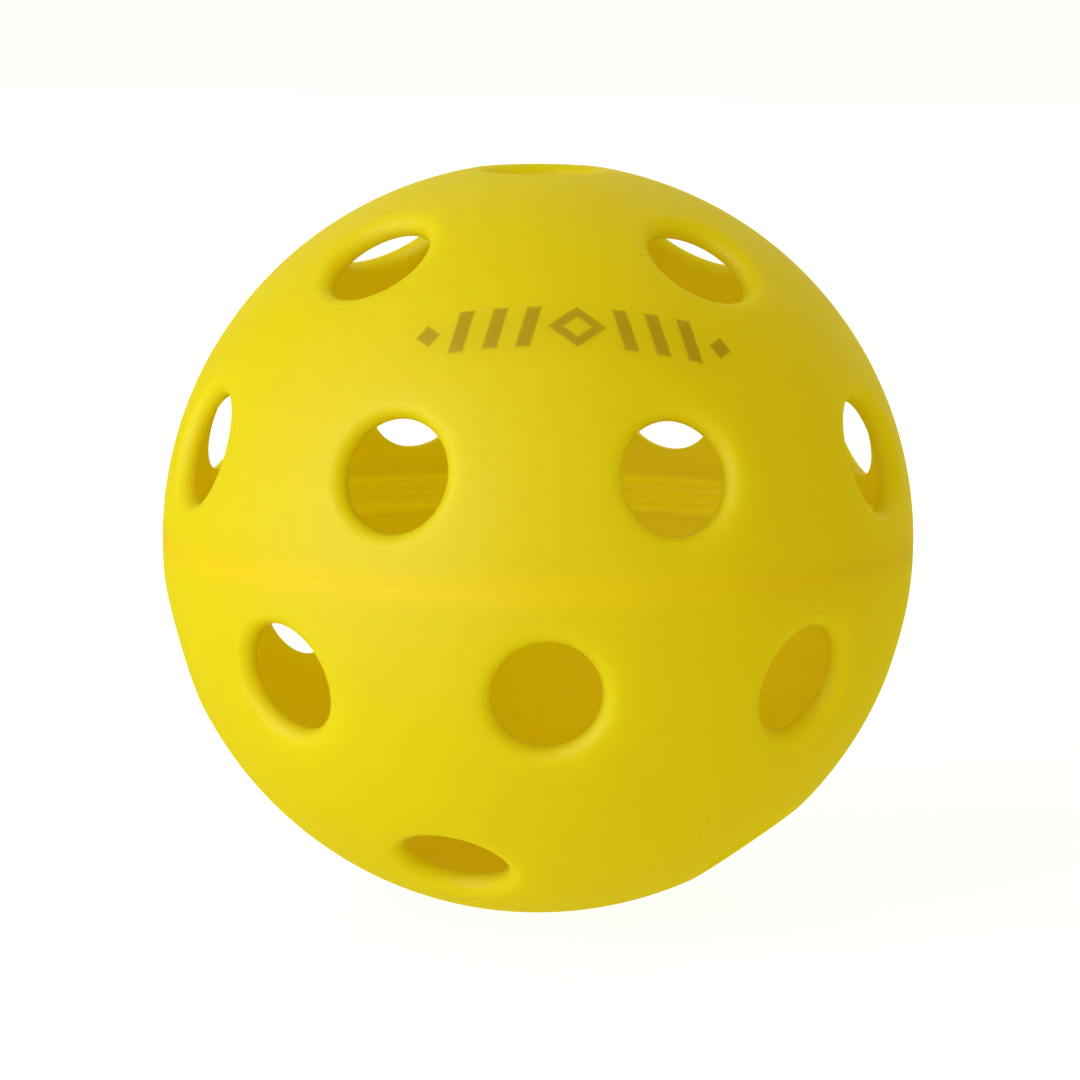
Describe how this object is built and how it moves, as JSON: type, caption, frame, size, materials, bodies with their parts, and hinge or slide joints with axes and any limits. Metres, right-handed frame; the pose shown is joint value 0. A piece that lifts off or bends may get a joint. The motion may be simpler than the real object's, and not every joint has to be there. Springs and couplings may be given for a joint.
{
  "type": "pickleball ball",
  "caption": "Hollow perforated plastic ball for indoor paddle play: two welded half shells with round air holes, soft outer hole edges and an inner weld bead.",
  "frame": {"origin": "centre of the ball, in the weld plane", "axes": "+Z along the polar axis, through the single hole at the top of the upper half; -Y towards the viewer of the main picture, 21.9 degrees short of a hole of the upper half's low ring"},
  "size_m": [0.074, 0.074, 0.0728],
  "materials": {
    "shell_plastic": "satin, slightly see-through lemon yellow polyethylene",
    "weld_plastic": "satin lemon yellow polyethylene, melted and set"
  },
  "bodies": {
    "root": {"upper_half_shell": "shell_plastic", "lower_half_shell": "shell_plastic", "weld_bead": "weld_plastic"}
  },
  "joints": []
}
